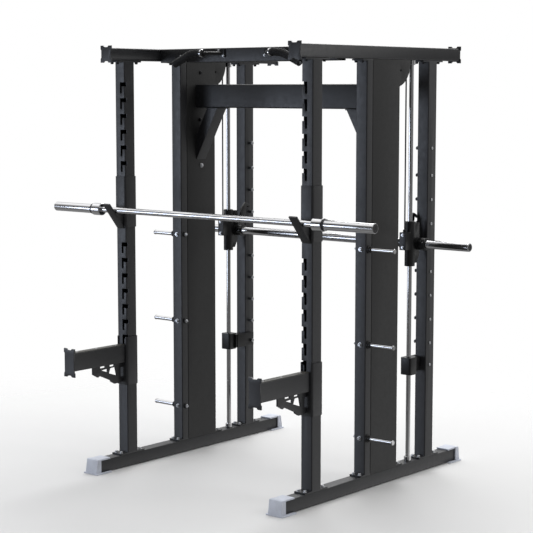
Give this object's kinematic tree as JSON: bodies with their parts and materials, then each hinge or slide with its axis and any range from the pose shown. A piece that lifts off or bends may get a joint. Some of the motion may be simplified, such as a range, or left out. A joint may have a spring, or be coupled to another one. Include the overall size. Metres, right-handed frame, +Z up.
{
  "type": "smith machine",
  "caption": "Smith machine power rack: bar guided on vertical rods with counterweights, free barbell on J-hooks, spotter arms, plate pegs and pull-up grips.",
  "frame": {"origin": "on the floor at the middle of the footprint", "axes": "+Z up, +X along the bars to the machine's own left as seen by a user facing it from the front, -Y is the front where the free barbell is racked"},
  "size_m": [2.2, 1.716, 2.2975],
  "materials": {
    "frame_black": "satin black powder coat",
    "cover_black": "satin black powder coat on sheet steel",
    "hardware_black": "semi-gloss black",
    "chrome": "polished hard chrome",
    "steel": "plain machined steel",
    "rubber_grey": "matte blue-grey rubber",
    "grip_black": "black textured grip on steel tube",
    "cable_black": "black coated steel cable",
    "pulley_nylon": "matte black nylon"
  },
  "bodies": {
    "frame": {"base_rail_right": "frame_black", "base_rail_left": "frame_black", "front_upright_right": "frame_black", "front_upright_left": "frame_black", "mid_post_right": "frame_black", "mid_post_left": "frame_black", "rear_upright_right": "frame_black", "rear_upright_left": "frame_black", "top_rail_right": "frame_black", "top_rail_left": "frame_black", "strut_right": "frame_black", "strut_left": "frame_black", "front_crossbeam": "frame_black", "mid_beam": "frame_black", "cover_right": "cover_black", "cover_left": "cover_black", "foot_front_right": "rubber_grey", "foot_front_left": "rubber_grey", "foot_rear_right": "rubber_grey", "foot_rear_left": "rubber_grey", "pull_up_handle_right": "grip_black", "pull_up_handle_left": "grip_black", "guide_rod_right": "chrome", "guide_rod_left": "chrome", "storage_peg_top_right": "chrome", "storage_peg_top_left": "chrome", "storage_peg_middle_right": "chrome", "storage_peg_middle_left": "chrome", "storage_peg_bottom_right": "chrome", "storage_peg_bottom_left": "chrome", "cable_lift_right": "cable_black", "cable_lift_left": "cable_black", "cable_top_right": "cable_black", "cable_top_left": "cable_black", "cable_weight_right": "cable_black", "cable_weight_left": "cable_black"},
    "smith_carriages": {"carriage_right": "hardware_black", "carriage_left": "hardware_black"},
    "smith_bar": {"smith_bar": "chrome", "smith_hook_right": "hardware_black", "smith_hook_left": "hardware_black", "smith_collar_right": "hardware_black", "smith_collar_left": "hardware_black", "smith_sleeve_right": "chrome", "smith_sleeve_left": "chrome"},
    "weight_right": {"counterweight_right": "steel"},
    "pulley_rear_right": {"pulley_rear_right": "pulley_nylon"},
    "pulley_front_right": {"pulley_front_right": "pulley_nylon"},
    "j_hook_right": {"j_hook_right": "frame_black"},
    "spotter_right": {"spotter_arm_right": "frame_black"},
    "stop_right": {"safety_stop_right": "hardware_black"},
    "barbell_sleeve_right": {"barbell_sleeve_right": "chrome"},
    "weight_left": {"counterweight_left": "steel"},
    "pulley_rear_left": {"pulley_rear_left": "pulley_nylon"},
    "pulley_front_left": {"pulley_front_left": "pulley_nylon"},
    "j_hook_left": {"j_hook_left": "frame_black"},
    "spotter_left": {"spotter_arm_left": "frame_black"},
    "stop_left": {"safety_stop_left": "hardware_black"},
    "barbell_sleeve_left": {"barbell_sleeve_left": "chrome"},
    "barbell": {"barbell_shaft": "chrome"}
  },
  "joints": [
    {"name": "smith_lift", "type": "slide", "parent": "frame", "child": "smith_carriages", "axis": [0, 0, 1], "range_m": [-0.49, 0.79], "deforming": ["cable_lift_right", "cable_lift_left"]},
    {"name": "bar_twist", "type": "hinge", "parent": "smith_carriages", "child": "smith_bar", "pos_m": [0, 0.448, 1.249], "axis": [1, 0, 0], "range_deg": [-18, 30]},
    {"name": "weight_right_slide", "type": "slide", "parent": "frame", "child": "weight_right", "axis": [0, 0, 1], "range_m": [-0.79, 0.49], "deforming": ["cable_weight_right"]},
    {"name": "pulley_rear_right_spin", "type": "hinge", "parent": "frame", "child": "pulley_rear_right", "pos_m": [0.647, 0.323, 2.16], "axis": [1, 0, 0], "range_deg": [-745, 1200]},
    {"name": "pulley_front_right_spin", "type": "hinge", "parent": "frame", "child": "pulley_front_right", "pos_m": [0.647, 0.136, 2.16], "axis": [1, 0, 0], "range_deg": [-745, 1200]},
    {"name": "weight_left_slide", "type": "slide", "parent": "frame", "child": "weight_left", "axis": [0, 0, 1], "range_m": [-0.79, 0.49], "deforming": ["cable_weight_left"]},
    {"name": "pulley_rear_left_spin", "type": "hinge", "parent": "frame", "child": "pulley_rear_left", "pos_m": [-0.647, 0.323, 2.16], "axis": [1, 0, 0], "range_deg": [-745, 1200]},
    {"name": "pulley_front_left_spin", "type": "hinge", "parent": "frame", "child": "pulley_front_left", "pos_m": [-0.647, 0.136, 2.16], "axis": [1, 0, 0], "range_deg": [-745, 1200]},
    {"name": "j_hook_right_slide", "type": "slide", "parent": "frame", "child": "j_hook_right", "axis": [0, 0, 1], "range_m": [-0.169, 0.4225]},
    {"name": "j_hook_left_slide", "type": "slide", "parent": "frame", "child": "j_hook_left", "axis": [0, 0, 1], "range_m": [-0.169, 0.4225]},
    {"name": "barbell_lift", "type": "slide", "parent": "j_hook_right", "child": "barbell", "axis": [0, 0, 1], "range_m": [0, 0.15]},
    {"name": "barbell_sleeve_right_spin", "type": "hinge", "parent": "barbell", "child": "barbell_sleeve_right", "pos_m": [0.92, -0.518, 1.419], "axis": [1, 0, 0], "continuous": true},
    {"name": "spotter_right_slide", "type": "slide", "parent": "frame", "child": "spotter_right", "axis": [0, 0, 1], "range_m": [-0.2535, 0.338]},
    {"name": "stop_right_swing", "type": "hinge", "parent": "frame", "child": "stop_right", "pos_m": [0.647, 0.409, 0.5915], "axis": [0, 0, 1], "range_deg": [0, 70]},
    {"name": "barbell_sleeve_left_spin", "type": "hinge", "parent": "barbell", "child": "barbell_sleeve_left", "pos_m": [-0.92, -0.518, 1.419], "axis": [1, 0, 0], "continuous": true},
    {"name": "spotter_left_slide", "type": "slide", "parent": "frame", "child": "spotter_left", "axis": [0, 0, 1], "range_m": [-0.2535, 0.338]},
    {"name": "stop_left_swing", "type": "hinge", "parent": "frame", "child": "stop_left", "pos_m": [-0.647, 0.409, 0.5915], "axis": [0, 0, 1], "range_deg": [-70, 0]}
  ],
  "couplings": [
    {"joint": "weight_right_slide", "follows": "smith_lift", "ratio": -1},
    {"joint": "pulley_rear_right_spin", "follows": "smith_lift", "rad_per_m": 26.316},
    {"joint": "pulley_front_right_spin", "follows": "smith_lift", "rad_per_m": 26.316},
    {"joint": "weight_left_slide", "follows": "smith_lift", "ratio": -1},
    {"joint": "pulley_rear_left_spin", "follows": "smith_lift", "rad_per_m": 26.316},
    {"joint": "pulley_front_left_spin", "follows": "smith_lift", "rad_per_m": 26.316},
    {"joint": "j_hook_left_slide", "follows": "j_hook_right_slide", "ratio": 1}
  ]
}
